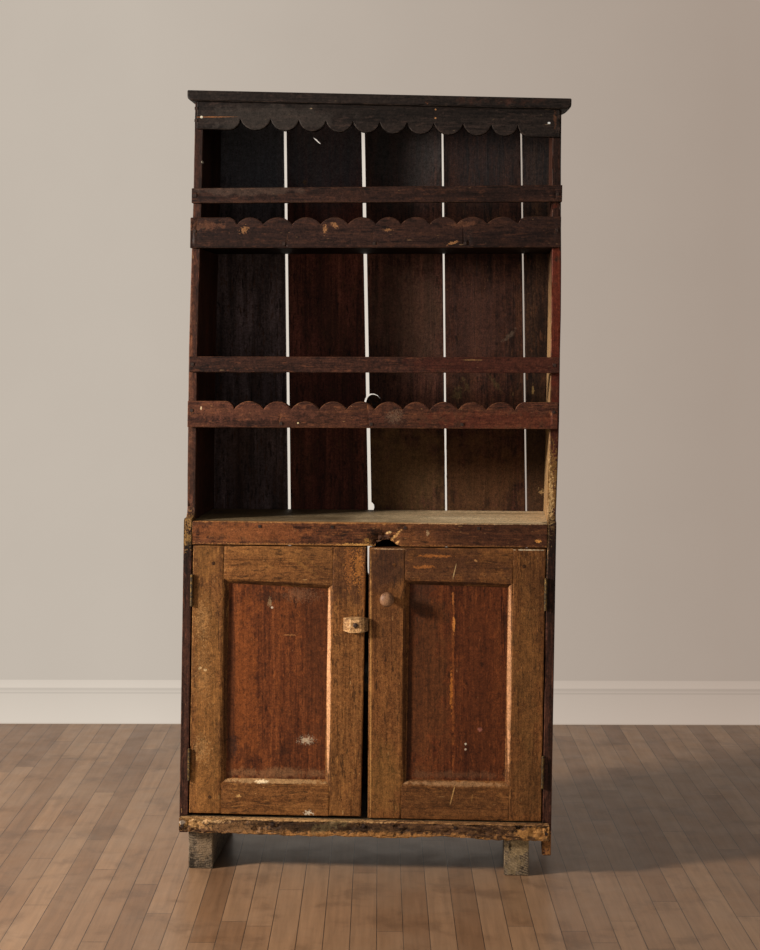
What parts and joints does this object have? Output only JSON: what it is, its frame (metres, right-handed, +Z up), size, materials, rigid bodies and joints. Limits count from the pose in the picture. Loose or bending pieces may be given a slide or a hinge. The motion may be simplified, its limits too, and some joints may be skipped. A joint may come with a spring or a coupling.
{
  "type": "step back cupboard",
  "caption": "Old pine step back cupboard: open scalloped plate shelves above, framed panel doors on butt hinges below, standing on timber runners.",
  "frame": {"origin": "centre of the bounding box in plan, on the floor", "axes": "+Z up along the height, -Y out of the doors towards the user, +X to the right seen from the front"},
  "size_m": [0.9394, 0.3784, 1.8814],
  "materials": {
    "dark_top_pine": "matte",
    "dark_red_pine": "matte",
    "back_board_pine": "matte",
    "shelf_pine": "matte",
    "ochre_brown_frame": "matte",
    "red_brown_panel": "matte",
    "peg_wood": "matte",
    "grey_runner": "matte",
    "knob_wood": "satin",
    "button_wood": "matte",
    "hinge_brass": "matte",
    "screw_iron": "matte",
    "old_nail_iron": "matte"
  },
  "bodies": {
    "case": {"back_board_1": "back_board_pine", "back_board_2": "back_board_pine", "back_board_3": "back_board_pine", "back_board_4": "back_board_pine", "back_board_5": "back_board_pine", "back_nails": "old_nail_iron", "base_rail": "dark_red_pine", "base_rail_nails": "old_nail_iron", "bottom_board": "shelf_pine", "counter_board": "shelf_pine", "counter_front_rail": "dark_red_pine", "counter_rail_nails": "old_nail_iron", "frieze": "dark_top_pine", "frieze_nails": "old_nail_iron", "hinge_case_screws": "screw_iron", "hinge_pins": "hinge_brass", "inner_shelf": "shelf_pine", "left_lower_hinge_case_leaf": "hinge_brass", "left_upper_hinge_case_leaf": "hinge_brass", "plate_rail_lower": "dark_red_pine", "plate_rail_nails": "old_nail_iron", "plate_rail_upper": "dark_red_pine", "right_lower_hinge_case_leaf": "hinge_brass", "right_upper_hinge_case_leaf": "hinge_brass", "runner_left": "grey_runner", "runner_right": "grey_runner", "scalloped_front_lower": "dark_red_pine", "scalloped_front_nails": "old_nail_iron", "scalloped_front_upper": "dark_red_pine", "shelf_cleats": "shelf_pine", "shelf_lower": "shelf_pine", "shelf_upper": "shelf_pine", "side_left": "dark_red_pine", "side_right": "dark_red_pine", "top_board": "dark_top_pine", "top_nails": "old_nail_iron"},
    "left_door": {"button_pivot": "screw_iron", "left_door_bottom_rail": "ochre_brown_frame", "left_door_hinge_screws": "screw_iron", "left_door_hinge_stile": "ochre_brown_frame", "left_door_lock_stile": "ochre_brown_frame", "left_door_panel": "red_brown_panel", "left_door_pegs": "peg_wood", "left_door_top_rail": "ochre_brown_frame", "left_lower_hinge_door_leaf": "hinge_brass", "left_upper_hinge_door_leaf": "hinge_brass"},
    "right_door": {"door_knob": "knob_wood", "right_door_bottom_rail": "ochre_brown_frame", "right_door_hinge_screws": "screw_iron", "right_door_hinge_stile": "ochre_brown_frame", "right_door_lock_stile": "ochre_brown_frame", "right_door_panel": "red_brown_panel", "right_door_pegs": "peg_wood", "right_door_top_rail": "ochre_brown_frame", "right_lower_hinge_door_leaf": "hinge_brass", "right_upper_hinge_door_leaf": "hinge_brass"},
    "turn_button": {"turn_button": "button_wood"}
  },
  "joints": [
    {"name": "left_door_hinge", "type": "hinge", "parent": "case", "child": "left_door", "pos_m": [-0.44197, -0.155, 0.455], "axis": [-0.0143, 0, -0.9999], "range_deg": [0, 170]},
    {"name": "right_door_hinge", "type": "hinge", "parent": "case", "child": "right_door", "pos_m": [0.40803, -0.155, 0.455], "axis": [0.0143, 0, 0.9999], "range_deg": [0, 170]},
    {"name": "turn_button_pivot", "type": "hinge", "parent": "left_door", "child": "turn_button", "pos_m": [-0.04156, -0.1512, 0.596], "axis": [0, 1, 0], "range_deg": [-90, 90]}
  ]
}
